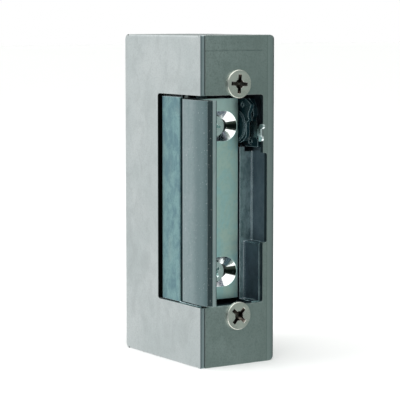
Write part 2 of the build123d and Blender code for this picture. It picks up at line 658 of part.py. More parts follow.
def coil_yoke():
    """The L-shaped iron frame: a leg behind the coil and a roof over it."""
    x_range = (COIL_AXIS[0] - 4.2, COIL_AXIS[0] + 4.2)
    top = COIL_Z[1] + 1.6
    leg = block(x_range, (behind(26.0), behind(27.65)), (ARMATURE_AXIS[1] + 1.3, top))
    roof = block(x_range, (behind(16.4), behind(27.65)), (COIL_Z[1], top))
    frame = leg + roof
    frame -= rod(CORE_RADIUS, (*COIL_AXIS, COIL_Z[1] - 1), (0, 0, 1), 6)
    return frame - rod(YOKE_SCREW_RADIUS, (COIL_AXIS[0], behind(25), YOKE_SCREW_Z), (0, 1, 0), 6)


def yoke_screw():
    """The screw that holds the coil's frame to the strike body's rear wall."""
    return rod(YOKE_SCREW_RADIUS - 0.02, (COIL_AXIS[0], behind(26.1), YOKE_SCREW_Z), (0, 1, 0), 3.0)


COVER_X = (12.2, inward(3.2))
COVER_Z = (18.2, 35.2)
COVER_Y = (behind(23.1), behind(24.45))
BOSS_RADIUS = 5.4
BOSS_CENTRE = (13.1, 25.5)          # X, Z
MARK_CENTRE = (16.6, 33.0)
RING_CENTRE = (17.4, 20.2)


def cover_wall():
    """The moulding's front wall: bulging at its upper corner, waisted below it, narrow beside the slide."""
    low = COVER_Z[0] + 1.2
    outline = polygon(
        (COVER_X[0], COVER_Z[1]),
        (18.6, COVER_Z[1]),
        (COVER_X[1], 33.2),
        (20.1, 30.2),
        (19.9, 28.7),
        (20.8, 27.8),
        (19.1, 27.1),
        (18.9, 22.0),
        (17.0, 20.3),
        (14.5, low),
        (COVER_X[0], low),
    )
    outline = fillet(outline.vertices().sort_by(Axis.X)[2:], 0.4)
    wall = slab_xz(outline, COVER_Y)
    mark_x, mark_z = MARK_CENTRE
    wall -= tube(1.0, 0.6, (mark_x, COVER_Y[0] - 0.1, mark_z), (0, 1, 0), 0.4)
    centre_x, centre_z = BOSS_CENTRE
    boss = rod(BOSS_RADIUS, (centre_x, COVER_Y[0] - 0.7, centre_z), (0, 1, 0), 1.2)
    boss = chamfer(boss.edges().group_by(Axis.Y)[0], 0.35)
    return wall + boss - block((0, COVER_X[0]), (behind(22), behind(25)), COVER_Z)


def coil_cover():
    """The black moulding beside the coil: a front wall, a lobed rear half, and posts between them."""
    lobes = polygon(
        (COVER_X[0] + 0.8, COVER_Z[0]),
        (21.7, COVER_Z[0]),
        (22.1, 20.6),
        (20.8, 21.9),
        (18.6, 22.3),
        (18.4, 28.0),
        (19.4, 29.4),
        (18.9, 31.9),
        (17.2, COVER_Z[1]),
        (COVER_X[0] + 0.8, COVER_Z[1]),
    )
    lobes = fillet(lobes.vertices().sort_by(Axis.X)[2:], 0.5)
    rear = slab_xz(lobes, (behind(25.9), REAR_WALL_Y))
    ring_x, ring_z = RING_CENTRE
    rear -= tube(1.3, 0.7, (ring_x, behind(25.8), ring_z), (0, 1, 0), 0.5)
    end_post = block((COVER_X[0], 16.8), (COVER_Y[0], REAR_WALL_Y), (COVER_Z[1] - 1.2, COVER_Z[1]))
    arm_x = (COVER_X[0] - 0.6, COVER_X[0] + 1.2)
    arm = block(arm_x, (COVER_Y[0], REAR_WALL_Y), (COVER_Z[0] + 6.5, COVER_Z[1]))
    return cover_wall() + rear + end_post + arm


def hold_open_slider():
    """The thin slide that keeps the strike released.

    Two teeth stand out of the window for a finger. A folded foot reaches over the armature's ear.
    """
    right = SIDE_X + 1.8
    shoulder = SIDE_X - 2.2
    left = COVER_X[0] - 1.8
    stem_z = (21.7, 27.3)
    outline = polygon(
        (left, 22.4),
        (left, 17.0),
        (left + 2.2, 17.0),
        (left + 2.2, stem_z[0]),
        (right - 2.8, stem_z[0]),
        (right - 2.8, 20.7),
        (right - 2.0, 20.35),
        (right - 1.0, 20.7),
        (right - 0.6, 21.4),
        (right - 0.9, 22.1),
        (right - 1.6, 22.5),
        (right - 1.6, 24.7),
        (right - 0.7, 24.9),
        (right, 25.5),
        (right - 0.1, 26.2),
        (right - 0.8, 26.6),
        (right - 1.9, 26.4),
        (right - 2.4, 25.7),
        (shoulder, 25.7),
        (shoulder, stem_z[1]),
        (COVER_X[0] + 2.2, stem_z[1]),
        (COVER_X[0] + 2.2, 22.4),
    )
    foot = block((left, left + 2.2), (SLIDER_Y[0], ARMATURE_AXIS[0] + 1.2), (16.5, 17.4))
    return slab_xz(outline, SLIDER_Y) + foot


# ---- wiring -------------------------------------------------------------------------------------------
TERMINAL_X = (LID_OUT_X - 12.8, LID_OUT_X - 0.4)
TERMINAL_Y = (behind(15.5), behind(25.5))
TERMINAL_Z = (6.0, 16.5)
POLE_X = (LID_OUT_X - 3.6, LID_OUT_X - 9.6)
POLE_Z = (TERMINAL_Z[0] + TERMINAL_Z[1]) / 2


def terminal_block():
    """The two-pole screw terminal on the side plate: screws to the front, wires from below and above."""
    case = block(TERMINAL_X, TERMINAL_Y, TERMINAL_Z)
    case = chamfer(case.edges().filter_by(Axis.X).group_by(Axis.Y)[0], 1.2)
    for x in POLE_X:
        case -= rod(2.1, (x, TERMINAL_Y[0] - 1, POLE_Z), (0, 1, 0), 6)
        case -= block((x - 2.3, x + 2.3), (behind(18.0), behind(24.4)), (POLE_Z - 2.3, POLE_Z + 2.3))
        case -= rod(1.6, (x, behind(LEAD_SETBACK), TERMINAL_Z[0] - 1), (0, 0, 1), 14)
    middle = (POLE_X[0] + POLE_X[1]) / 2
    groove = block((middle - 0.4, middle + 0.4), (TERMINAL_Y[0] - 1, TERMINAL_Y[0] + 1.5), (0, 20))
    return case - groove


def terminal_clamps():
    clamps = []
    for x in POLE_X:
        cage = block((x - 2.2, x + 2.2), (behind(18.1), behind(24.2)), (POLE_Z - 2.2, POLE_Z + 2.2))
        cage -= block((x - 1.5, x + 1.5), (behind(19.2), behind(23.2)), (POLE_Z - 3, POLE_Z + 3))
        clamps.append(cage - rod(1.27, (x, behind(16), POLE_Z), (0, 1, 0), 4))
    return clamps


def terminal_screws():
    return [
        cheese_screw(1.25, 1.9, 1.0, 1.9, (x, behind(17.4), POLE_Z), (0, -1, 0), 30 + 8 * x)
        for x in POLE_X
    ]


def coil_leads():
    """Two insulated leads from the coil, out through the side plate and down into the terminal."""
    leads = []
    for x, offset, bend in ((POLE_X[0], 0.9, 2.6), (POLE_X[1], -0.9, 5.0)):
        y = COIL_AXIS[1] + offset
        start = (COIL_AXIS[0] - LEAD_EAR_REACH, y, LEAD_Z)
        path = FilletPolyline(start, (x, y, LEAD_Z), (x, y, POLE_Z + 1), radius=bend)
        section = Plane(origin=start, z_dir=(-1, 0, 0)) * Circle(LEAD_RADIUS)
        leads.append(sweep(section, path=path))
    return leads


def suppressor_diode():
    """The diode across the two poles, hanging below the terminal on its own legs."""
    y = behind(LEAD_SETBACK)
    level = TERMINAL_Z[0] - 2.6
    middle = (POLE_X[0] + POLE_X[1]) / 2
    diode = rod(1.25, (middle - 2.0, y, level), (1, 0, 0), 4.0)
    diode += rod(0.3, (POLE_X[1], y, level), (1, 0, 0), POLE_X[0] - POLE_X[1])
    for x in POLE_X:
        diode += Pos(x, y, level) * Sphere(0.3)
        diode += rod(0.3, (x, y, level), (0, 0, 1), POLE_Z - level - 0.6)
    return diode


PARTS = {
    "housing_channel": housing_channel,
    "front_cover": front_cover,
    "cover_screws": cover_screws,
    "fixing_screws": fixing_screws,
    "cable_grommet": cable_grommet,
    "strike_body": strike_body,
    "strike_lid": strike_lid,
    "lid_screws": lid_screws,
    "keeper": keeper,
    "keeper_pin": keeper_pin,
    "keeper_spring": keeper_spring,
    "latch": latch,
    "latch_screws": latch_screws,
    "pawl": pawl,
    "pawl_pin": pawl_pin,
    "pawl_spring": pawl_spring,
    "armature": armature,
    "armature_spring": armature_spring,
    "coil_core": coil_core,
    "coil_bobbin": coil_bobbin,
    "coil_winding": coil_winding,
    "coil_yoke": coil_yoke,
    "yoke_screw": yoke_screw,
    "coil_cover": coil_cover,
    "hold_open_slider": hold_open_slider,
    "terminal_block": terminal_block,
    "terminal_clamps": terminal_clamps,
    "terminal_screws": terminal_screws,
    "coil_leads": coil_leads,
    "suppressor_diode": suppressor_diode,
}


def solids_of(shape):
    """The solids of one piece, or of several that share a node."""
    shapes = shape if isinstance(shape, list) else [shape]
    return [solid for item in shapes for solid in item.solids()]


os.makedirs("parts", exist_ok=True)
for name, make in PARTS.items():
    solids = solids_of(make())
    export_step(solids[0] if len(solids) == 1 else Compound(children=solids), f"parts/{name}.step")
    print(name, len(solids))
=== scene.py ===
"""Electric door strike: materials, wound pieces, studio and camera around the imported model."""
import math

import bpy
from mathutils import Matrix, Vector


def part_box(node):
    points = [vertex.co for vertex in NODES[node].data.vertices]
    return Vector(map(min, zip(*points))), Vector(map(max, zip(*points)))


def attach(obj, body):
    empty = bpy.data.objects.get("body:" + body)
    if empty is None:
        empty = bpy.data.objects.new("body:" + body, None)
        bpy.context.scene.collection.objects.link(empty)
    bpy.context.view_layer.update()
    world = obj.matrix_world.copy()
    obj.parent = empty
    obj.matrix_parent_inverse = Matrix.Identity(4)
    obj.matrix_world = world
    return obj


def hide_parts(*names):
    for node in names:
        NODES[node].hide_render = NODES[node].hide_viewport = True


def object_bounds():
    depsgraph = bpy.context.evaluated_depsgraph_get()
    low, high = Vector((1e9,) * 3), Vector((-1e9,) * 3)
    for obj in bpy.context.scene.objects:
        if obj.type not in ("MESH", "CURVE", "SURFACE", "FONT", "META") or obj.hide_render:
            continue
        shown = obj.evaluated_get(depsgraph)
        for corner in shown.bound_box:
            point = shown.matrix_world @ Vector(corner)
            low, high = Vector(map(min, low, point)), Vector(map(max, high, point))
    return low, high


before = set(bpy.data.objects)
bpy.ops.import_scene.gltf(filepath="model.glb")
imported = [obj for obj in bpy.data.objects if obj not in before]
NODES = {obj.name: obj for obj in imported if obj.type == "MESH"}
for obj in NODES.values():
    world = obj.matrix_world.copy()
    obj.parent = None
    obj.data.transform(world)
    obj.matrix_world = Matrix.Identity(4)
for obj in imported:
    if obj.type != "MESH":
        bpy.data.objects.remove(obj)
cad_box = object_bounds()
MM = 0.001


# ---- places in the model's frame ------------------------------------------------------------------------
FRONT_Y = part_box("front_cover")[0].y
SIDE_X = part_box("front_cover")[1].x
FLOOR_X = SIDE_X - 9.0 * MM                 # the latch plate's face and the pocket's floor
LATCH_SCREW = (FRONT_Y + 12.6 * MM, 25.7 * MM)      # Y, Z of the countersinks' middles, mirrored in Z
FIXING_SCREW = (FRONT_Y + 15.4 * MM, 40.45 * MM)
FIXING_RAISE = 0.3 * MM
SHEET = 1.5 * MM
TAB_MIDDLE_Z = 23.65 * MM                   # the notch between the slide's two teeth


def behind(distance):
    """Y of a point that lies this many millimetres behind the broad front."""
    return FRONT_Y + distance * MM


# ---- camera -------------------------------------------------------------------------------------------
CAMERA_PLACE = Vector((535.2, -366.4, 64.1)) * MM
CAMERA_AZIMUTH = 56.86      # degrees, 0 looks along +Y
CAMERA_DOWN = 5.88
CAMERA_LENS = 160.94


def add_camera():
    azimuth = math.radians(CAMERA_AZIMUTH)
    down = math.radians(CAMERA_DOWN)
    level = math.cos(down)
    look = Vector((-math.sin(azimuth) * level, math.cos(azimuth) * level, -math.sin(down)))
    data = bpy.data.cameras.new("camera")
    data.lens = CAMERA_LENS
    data.sensor_width = 36.0
    data.clip_start = 0.01
    camera = bpy.data.objects.new("camera", data)
    camera.location = CAMERA_PLACE
    camera.rotation_euler = look.to_track_quat("-Z", "Y").to_euler()
    bpy.context.scene.collection.objects.link(camera)
    bpy.context.scene.camera = camera


# ---- node helpers -------------------------------------------------------------------------------------
BEVEL_SAMPLES = 6
EDGE_HIGHLIGHT_TURN = (0.998, 0.86)   # cosine of the surface's turn where the painted edge highlight starts and where it is full


class Shader:
    """A material's node tree with short calls for the nodes that the surfaces below share."""

    def __init__(self, name):
        self.material = bpy.data.materials.new(name)
        self.material.use_nodes = True
        self.tree = self.material.node_tree
        self.bsdf = self.tree.nodes["Principled BSDF"]
        coords = self.tree.nodes.new("ShaderNodeTexCoord")
        self.position = coords.outputs["Object"]
        self.normal = coords.outputs["Normal"]

    def node(self, kind, **settings):
        made = self.tree.nodes.new(kind)
        for key, value in settings.items():
            setattr(made, key, value)
        return made

    def feed(self, socket, value):
        if isinstance(value, bpy.types.NodeSocket):
            self.tree.links.new(value, socket)
        else:
            socket.default_value = value

    def stretch(self, factors):
        """The position, scaled by a factor on each axis."""
        mapping = self.node("ShaderNodeMapping")
        mapping.inputs["Scale"].default_value = factors
        self.feed(mapping.inputs["Vector"], self.position)
        return mapping.outputs["Vector"]

    def noise(self, scale, detail, roughness, factors=(1, 1, 1), distortion=0.0):
        made = self.node("ShaderNodeTexNoise")
        self.feed(made.inputs["Vector"], self.stretch(factors))
        made.inputs["Scale"].default_value = scale
        made.inputs["Detail"].default_value = detail
        made.inputs["Roughness"].default_value = roughness
        made.inputs["Distortion"].default_value = distortion
        return made.outputs["Fac"]

    def ramp(self, value, low, high, out_low=0.0, out_high=1.0):
        made = self.node("ShaderNodeMapRange", clamp=True, interpolation_type="SMOOTHSTEP")
        self.feed(made.inputs["Value"], value)
        self.feed(made.inputs["From Min"], low)
        self.feed(made.inputs["From Max"], high)
        self.feed(made.inputs["To Min"], out_low)
        self.feed(made.inputs["To Max"], out_high)
        return made.outputs["Result"]

    def math(self, operation, a, b=0.0):
        made = self.node("ShaderNodeMath", operation=operation)
        self.feed(made.inputs[0], a)
        self.feed(made.inputs[1], b)
        return made.outputs[0]

    def times(self, a, b):
        return self.math("MULTIPLY", a, b)

    def band(self, value, rise, fall):
        """1 between two limits, each given as the places in mm where the mask is 0 and where it is 1."""
        return self.times(*(self.ramp(value, nothing * MM, full * MM) for nothing, full in (rise, fall)))

    def mix(self, factor, a, b):
        made = self.node("ShaderNodeMix", data_type="RGBA")
        self.feed(made.inputs["Factor"], factor)
        self.feed(made.inputs["A"], (*a, 1.0) if isinstance(a, tuple) else a)
        self.feed(made.inputs["B"], (*b, 1.0) if isinstance(b, tuple) else b)
        return made.outputs["Result"]

    def split(self, vector):
        made = self.node("ShaderNodeSeparateXYZ")
        self.feed(made.inputs["Vector"], vector)
        return made.outputs["X"], made.outputs["Y"], made.outputs["Z"]

    def around_axis(self, place, raised=0.0):
        """Distance from, and the two offsets to, an axis along X at (Y, Z), mirrored in Z = raised."""
        _, y, z = self.split(self.position)
        along = self.math("SUBTRACT", y, place[0])
        up = self.math("SUBTRACT", self.math("ABSOLUTE", self.math("SUBTRACT", z, raised)), place[1])
        square = self.math("ADD", self.times(along, along), self.times(up, up))
        return self.math("SQRT", square), along, up

    def edge_highlights(self, radius):
        """How far the surface turns within the radius: 0 on flats, towards 1 on edges; the mask for painted
        edge highlights.
        """
        bevel = self.node("ShaderNodeBevel", samples=BEVEL_SAMPLES)
        bevel.inputs["Radius"].default_value = radius
        geometry = self.node("ShaderNodeNewGeometry")
        dot = self.node("ShaderNodeVectorMath", operation="DOT_PRODUCT")
        self.feed(dot.inputs[0], bevel.outputs["Normal"])
        self.feed(dot.inputs[1], geometry.outputs["Normal"])
        return self.ramp(dot.outputs["Value"], *EDGE_HIGHLIGHT_TURN)

    def finish(self, color, roughness, metallic, bumps, edge=0.18 * MM, specular=0.5):
        """Wires the surface up. bumps are (height, strength, distance) tuples laid over each other."""
        self.feed(self.bsdf.inputs["Base Color"], color)
        self.feed(self.bsdf.inputs["Roughness"], roughness)
        self.bsdf.inputs["Metallic"].default_value = metallic
        self.bsdf.inputs["Specular IOR Level"].default_value = specular
        bevel = self.node("ShaderNodeBevel", samples=BEVEL_SAMPLES)
        bevel.inputs["Radius"].default_value = edge
        normal = bevel.outputs["Normal"]
        for height, strength, distance in bumps:
            bump = self.node("ShaderNodeBump")
            bump.inputs["Strength"].default_value = strength
            bump.inputs["Distance"].default_value = distance
            self.feed(bump.inputs["Height"], height)
            self.feed(bump.inputs["Normal"], normal)
            normal = bump.outputs["Normal"]
        self.feed(self.bsdf.inputs["Normal"], normal)
        return self.material


# ---- materials ----------------------------------------------------------------------------------------
def satin_stainless(name, light, dark, rough, extra, speckling):
    """Satin stainless sheet: fine vertical grain, faint clouds and stains, and painted highlights on its
    edges.

    extra is a function that paints one part's own marks, painted shade and painted highlights over the
    colour.
    """
    s = Shader(name)
    grain = s.noise(3200, 2.0, 0.6, (1.0, 1.0, 0.06))
    speckle = s.noise(1900, 2.0, 0.7)
    clouds = s.noise(42, 4.0, 0.6)
    stains = s.noise(150, 4.0, 0.65, (1.0, 1.0, 0.6), 0.8)
    color = s.mix(s.ramp(clouds, 0.32, 0.68), dark, light)
    color = s.mix(s.ramp(stains, 0.42, 0.72, 0.0, 0.5), color, tuple(0.80 * c for c in dark))
    color = s.mix(s.ramp(speckle, 0.40, 0.75, 0.0, speckling), color, tuple(0.72 * c for c in dark))
    color = s.mix(s.ramp(grain, 0.4, 0.7, 0.0, 0.14), color, tuple(min(1.0, 1.2 * c) for c in light))
    # painted highlight: a lighter colour on the edges
    color = s.mix(s.times(s.edge_highlights(0.25 * MM), 0.35), color, (0.80, 0.83, 0.82))
    color = extra(s, color)
    roughness = s.ramp(grain, 0.2, 0.8, rough, rough + 0.12)
    return s.finish(color, roughness, 1.0, ((grain, 0.12, 0.02 * MM), (clouds, 0.10, 0.5 * MM)))


WINDOW_LEFT = (12 * MM, 10 * MM)            # X below which a cut edge belongs to the window's left side, painted black as shadow
CORNER_SEAM = (0.35, 0.25)                  # mm from the front right corner over which the cover's edge gets painted shade
BEND_SHOULDER_HIGHLIGHT = ((-5.2, -4.9), (-2.0, -2.3))   # Y of the painted highlight on the bends' shoulder, mm
BEND_CROWN_SHADE = ((-2.2, -1.8), (-0.2, -0.6))    # Y of the painted shade on their crown
BEND_START_SHADE = ((-5.5, -5.25), (-4.9, -5.1))   # Y of a painted shade line where the bend begins
NARROW_SIDE_SHADE = (-24 * MM, -13 * MM)               # Y over which painted shade darkens the narrow side
TOP_LINE_Z = ((52.2, 52.4), (52.9, 52.6))      # Z of a thin dark line near the top, mm
TOP_LINE_END = (-6.5 * MM, -8.0 * MM)        # Y where that thin dark line ends


def cover_edges_and_shade(s, color):
    """The cover's sheared edges: dull on the narrow side, with a painted shade line along the front right
    corner and a painted black shadow on the window's left cut edge.
    """
    x, y, _ = s.split(s.position)
    facing_side = s.ramp(s.split(s.normal)[0], 0.5, 0.8)
    color = s.mix(s.times(facing_side, 0.7), color, (0.36, 0.46, 0.49))
    # painted shade: a dark line along the cover's front right corner
    right = s.ramp(x, *(SIDE_X - inset * MM for inset in CORNER_SEAM))
    corner = s.times(right, s.ramp(y, *(behind(inset) for inset in CORNER_SEAM)))
    color = s.mix(s.times(corner, 0.8), color, (0.10, 0.14, 0.16))
    # painted shadow: the window's left cut edge is painted nearly black
    return s.mix(s.times(facing_side, s.ramp(x, *WINDOW_LEFT)), color, (0.02, 0.022, 0.022))


def channel_bend(s, color):
    """The channel's long bends with painted highlight and painted shade, painted shade on the narrow side,
    a thin dark line near its top, and painted shade on the window's sheared edge.
    """
    x, y, z = s.split(s.position)
    normal_x, normal_y, _ = s.split(s.normal)
    # painted highlight on the bends' shoulder and painted shade on their crown
    color = s.mix(s.times(s.band(y, *BEND_SHOULDER_HIGHLIGHT), 0.6), color, (0.52, 0.60, 0.59))
    color = s.mix(s.times(s.band(y, *BEND_CROWN_SHADE), 0.85), color, (0.13, 0.18, 0.18))
    # painted shade: the narrow side gets darker towards the bend
    narrow_shade = s.times(s.ramp(normal_x, 0.7, 0.95), s.ramp(y, *NARROW_SIDE_SHADE, 0.0, 0.35))
    color = s.mix(narrow_shade, color, (0.28, 0.345, 0.33))
    # painted shade: a dark line where the bend begins
    color = s.mix(s.times(s.band(y, *BEND_START_SHADE), 0.45), color, (0.22, 0.29, 0.27))
    # a thin, wavy dark line near the channel's top
    wavy = s.math("ADD", z, s.times(s.noise(160, 2.0, 0.5), 0.5 * MM))
    top_line = s.times(s.band(wavy, *TOP_LINE_Z), s.ramp(x, SIDE_X - 0.2 * MM, SIDE_X - 0.1 * MM))
    top_line = s.times(top_line, s.ramp(y, *TOP_LINE_END))
    color = s.mix(s.times(top_line, s.noise(300, 2.0, 0.5)), color, (0.20, 0.25, 0.24))
    # painted shade: the window's sheared edge is painted dark
    edge = s.times(s.ramp(normal_y, -0.5, -0.8), s.ramp(y, behind(8), behind(10)))
    return s.mix(edge, color, (0.05, 0.062, 0.075))


ZINC_FRONT = (1.8, 3.0)                     # mm behind the front over which the front strip's tones end
LOWER_WALL = (-15.2 * MM, -15.4 * MM)       # Z where the slanted lower block begins
GAP_END = (35.98 * MM, 36.04 * MM)          # |Z| of the painted shadow in the gaps over and under the latch
ZINC_EDGE_HIGHLIGHT = (1.0, 3.0)                    # mm inside the narrow side where painted edge highlights on the zinc begin


def passivated_zinc(name):
    """Die-cast zinc, blue passivated: blotches of teal and straw in front; inside the pocket slate grey,
    with painted light and shade by facing and height, and painted shadow in the gaps.
    """
    s = Shader(name)
    x, y, z = s.split(s.position)
    normal_x, _, normal_z = s.split(s.normal)
    blotch = s.noise(330, 6.0, 0.72, (1, 1, 0.6), 0.35)
    streak = s.noise(210, 5.0, 0.68, (1, 1, 0.4), 0.5)
    cast = s.noise(1900, 3.0, 0.65)
    front = s.mix(s.ramp(blotch, 0.36, 0.64), (0.17, 0.305, 0.345), (0.27, 0.45, 0.46))
    front = s.mix(s.ramp(streak, 0.50, 0.72, 0.0, 0.5), front, (0.33, 0.46, 0.45))
    # painted light and shade: the pocket's walls, lower block, floor and ledges get separate lighter and
    # darker tones
    wall = s.mix(s.ramp(blotch, 0.3, 0.7), (0.185, 0.20, 0.245), (0.25, 0.27, 0.32))
    lower = s.mix(s.ramp(blotch, 0.3, 0.7), (0.115, 0.135, 0.17), (0.165, 0.19, 0.24))
    floor = s.mix(s.ramp(blotch, 0.35, 0.65), (0.235, 0.36, 0.38), (0.48, 0.66, 0.67))
    deep = s.mix(s.ramp(z, *LOWER_WALL), wall, lower)
    deep = s.mix(s.ramp(normal_x, 0.6, 0.9), deep, floor)
    deep = s.mix(s.ramp(normal_z, 0.3, 0.9), deep, (0.065, 0.105, 0.125))
    color = s.mix(s.ramp(y, *(behind(depth) for depth in ZINC_FRONT)), front, deep)
    # painted shadow: the gaps over and under the latch are painted nearly black
    gap_shadow = s.times(s.ramp(s.math("ABSOLUTE", z), *GAP_END), s.ramp(y, behind(1.2), behind(1.4)))
    color = s.mix(s.times(gap_shadow, s.ramp(y, behind(6), behind(5))), color, (0.012, 0.016, 0.017))
    color = s.mix(s.ramp(cast, 0.5, 0.8, 0.0, 0.3), color, (0.10, 0.135, 0.14))
    # painted highlight: a lighter colour on the zinc's edges inside the pocket
    inside = s.ramp(x, *(SIDE_X - SHEET - depth * MM for depth in ZINC_EDGE_HIGHLIGHT))
    lit_edge = s.times(s.edge_highlights(0.35 * MM), inside)
    color = s.mix(s.times(lit_edge, 0.9), color, (0.86, 0.95, 1.0))
    return s.finish(color, s.ramp(cast, 0.2, 0.8, 0.40, 0.56), 1.0,
                    ((cast, 0.35, 0.03 * MM), (blotch, 0.12, 0.2 * MM)), 0.3 * MM)


NOSE_SHADE = (7.5, 1.5)                     # mm inside the narrow side over which the nose gets darker
NOSE_DEPTH = (4.2, 4.6)                     # mm behind the front where the chromate begins
CHAMFER_DEPTH = (3.2, 2.7)                  # mm behind the front where the nose's chamfer ends
CHROMATE_TOP_LIGHT = (28 * MM, 33 * MM)           # Z over which painted light makes the plate's upper end lighter
SINK_RADIUS = (8.7 * MM, 8.6 * MM)          # around each slot's countersink
SINK_BRIGHT = (0.02, 0.1)                   # mm below the plate's face where the turned cone begins
SINK_SHADOW = (2.15, 2.3)                     # mm below the plate's face where the cone ends and the painted shadow ring begins
SINK_REFLECTION_SECTOR = (0.26, 0.20)                  # slope of the cone's painted dark reflection, up against along


def satin_nose(s, x, grain, film, film_fine):
    """The nose's ground steel, in long faint bands and darker towards its tip."""
    band = s.noise(420, 2.0, 0.5, (1, 1, 0.012))
    satin = s.mix(s.ramp(band, 0.3, 0.7), (0.235, 0.325, 0.335), (0.28, 0.37, 0.38))
    satin = s.mix(s.ramp(film, 0.35, 0.7, 0.0, 0.6), satin, (0.33, 0.40, 0.42))
    satin = s.mix(s.ramp(film_fine, 0.45, 0.72, 0.0, 0.3), satin, (0.15, 0.20, 0.21))
    satin = s.mix(s.ramp(grain, 0.4, 0.72, 0.0, 0.3), satin, (0.40, 0.48, 0.49))
    shade = s.ramp(x, *(SIDE_X - inset * MM for inset in NOSE_SHADE), 0.0, 0.75)
    return s.mix(shade, satin, (0.135, 0.205, 0.215))


def chromate_film(s, z, film, film_fine):
    """The greenish film on the latch's slotted plate, with painted light on its upper end."""
    chromate = s.mix(s.ramp(film, 0.34, 0.66), (0.60, 0.92, 0.93), (0.75, 0.95, 0.87))
    chromate = s.mix(s.ramp(film_fine, 0.42, 0.72, 0.0, 0.4), chromate, (0.55, 0.82, 0.77))
    # painted light: the plate's upper end gets lighter
    return s.mix(s.ramp(z, *CHROMATE_TOP_LIGHT, 0.0, 0.8), chromate, (0.80, 1.0, 0.98))


def turned_cone(s, x):
    """The countersinks' mask and colour: bright, with a painted dark reflection in a sector on the axis and
    a painted shadow ring round the screw head.
    """
    distance, along, up = s.around_axis(LATCH_SCREW)
    sunk = s.ramp(x, *(FLOOR_X - depth * MM for depth in SINK_BRIGHT))
    turned = s.noise(900, 2.0, 0.5)
    cone = s.mix(s.ramp(turned, 0.3, 0.7), (0.86, 0.90, 0.91), (0.97, 0.98, 0.98))
    slope = s.math("ABSOLUTE", s.math("DIVIDE", up, s.math("MAXIMUM", along, 0.1 * MM)))
    # painted reflection: a dark sector on the axis
    cone = s.mix(s.ramp(slope, *SINK_REFLECTION_SECTOR), cone, (0.025, 0.035, 0.028))
    # painted shadow: a dark ring round the screw head
    shadow_ring = s.ramp(x, *(FLOOR_X - depth * MM for depth in SINK_SHADOW))
    return s.times(s.ramp(distance, *SINK_RADIUS), sunk), s.mix(shadow_ring, cone, (0.02, 0.026, 0.026))


def latch_steel(name):
    """The latch: satin nose with a painted highlight on its end face and a painted dark reflection on its
    chamfer, greenish chromate behind it, bright countersinks.
    """
    s = Shader(name)
    x, y, z = s.split(s.position)
    normal_x = s.split(s.normal)[0]
    grain = s.noise(2600, 2.0, 0.6, (1, 1, 0.08))
    speckle = s.noise(1500, 2.0, 0.7)
    film = s.noise(120, 4.0, 0.62, (1, 1, 0.6), 1.2)
    film_fine = s.noise(800, 3.0, 0.6)
    # painted highlight: a lighter tone on the nose's end face, which faces the narrow side
    end_face_highlight = s.mix(s.ramp(film, 0.3, 0.7), (0.54, 0.65, 0.67), (0.68, 0.76, 0.78))
    color = s.mix(s.ramp(normal_x, 0.75, 0.93), satin_nose(s, x, grain, film, film_fine), end_face_highlight)
    plate = s.ramp(y, *(behind(depth) for depth in NOSE_DEPTH))
    color = s.mix(plate, color, chromate_film(s, z, film, film_fine))
    # painted reflection: the nose's chamfer is painted dark
    chamfer = s.times(s.ramp(normal_x, 0.30, 0.50), s.ramp(normal_x, 0.985, 0.95))
    chamfer = s.times(chamfer, s.ramp(y, *(behind(depth) for depth in CHAMFER_DEPTH)))
    color = s.mix(s.times(chamfer, 0.95), color, (0.045, 0.075, 0.082))
    flared, cone = turned_cone(s, x)
    color = s.mix(flared, color, cone)
    color = s.mix(s.ramp(speckle, 0.66, 0.72, 0.0, 0.6), color, (0.80, 0.85, 0.86))
    # painted highlight: a lighter colour on the edges
    color = s.mix(s.times(s.edge_highlights(0.2 * MM), 0.5), color, (0.80, 0.87, 0.87))
    roughness = s.math("SUBTRACT", s.ramp(grain, 0.2, 0.8, 0.28, 0.42), s.times(flared, 0.22))
    bumps = ((grain, 0.10, 0.02 * MM), (speckle, 0.10, 0.02 * MM))
    return s.finish(color, roughness, 1.0, bumps, 0.15 * MM)


def plated_steel(name, tone, rough, mottle=140, extra=None):
    """Zinc or nickel plated small steel parts with faint rolling marks and stains."""
    s = Shader(name)
    clouds = s.noise(mottle, 4.0, 0.6)
    grain = s.noise(2800, 2.0, 0.6, (1, 1, 0.25))
    light = tuple(min(1.0, channel * 1.18) for channel in tone)
    color = s.mix(s.ramp(clouds, 0.3, 0.7), tone, light)
    color = s.mix(s.ramp(grain, 0.55, 0.8, 0.0, 0.3), color, tuple(channel * 0.7 for channel in tone))
    # painted highlight: a lighter colour on the edges
    color = s.mix(s.times(s.edge_highlights(0.15 * MM), 0.5), color, (0.85, 0.86, 0.84))
    if extra:
        color = extra(s, color)
    return s.finish(color, s.ramp(clouds, 0.2, 0.8, rough, rough + 0.14), 1.0,
                    ((grain, 0.15, 0.015 * MM),), 0.1 * MM)


RECESS_RADIUS = (3.9 * MM, 3.7 * MM)        # the fixing screws' cross recess
RECESS_TOP = (0.97, 0.85)                   # mm in front of the narrow side
TOOTH_HALF = (1.1 * MM, 1.4 * MM)           # from the slide's middle to its two teeth
TOOTH_TONE_FROM = (1.7, 0.8)                      # mm inside the narrow side, between the teeth and on them, where the slide's plated tone begins


def shade_in_recess(s, color):
    """Painted shade in the cross recesses of the fixing screws: inside the rim and below the head's top."""
    x = s.split(s.position)[0]
    distance = s.around_axis(FIXING_SCREW, FIXING_RAISE)[0]
    below = s.ramp(x, *(SIDE_X + height * MM for height in RECESS_TOP))
    # painted shade: mottled dark brown inside the cross recesses
    recess_shade = s.mix(s.ramp(s.noise(900, 3.0, 0.6), 0.4, 0.65), (0.05, 0.042, 0.035), (0.20, 0.18, 0.155))
    return s.mix(s.times(s.ramp(distance, *RECESS_RADIUS), below), color, recess_shade)


